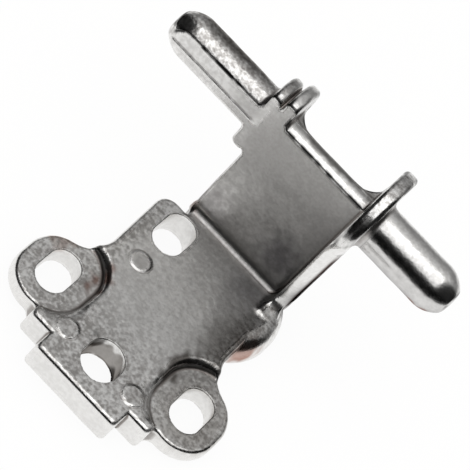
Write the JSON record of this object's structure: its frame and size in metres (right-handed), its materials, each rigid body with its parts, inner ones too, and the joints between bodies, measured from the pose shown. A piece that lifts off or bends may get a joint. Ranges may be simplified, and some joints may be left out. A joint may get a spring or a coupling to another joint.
{
  "type": "fridge door hinge",
  "caption": "Die-cast middle hinge for a fridge with doors above and below: a slotted mounting plate and a standing arm with a collared door pin on each side",
  "frame": {"origin": "on the mounting face, on the plate's centre line, midway between the two ear slots", "axes": "+Z out of the mounting face toward the pins, +Y from the foot of the plate up toward the arm, +X along the pin axis toward the lower door's pin"},
  "size_m": [0.0602, 0.0549, 0.0374],
  "materials": {
    "zinc_casting": "as-cast satin"
  },
  "bodies": {
    "root": {"hinge_casting": "zinc_casting"}
  },
  "joints": []
}
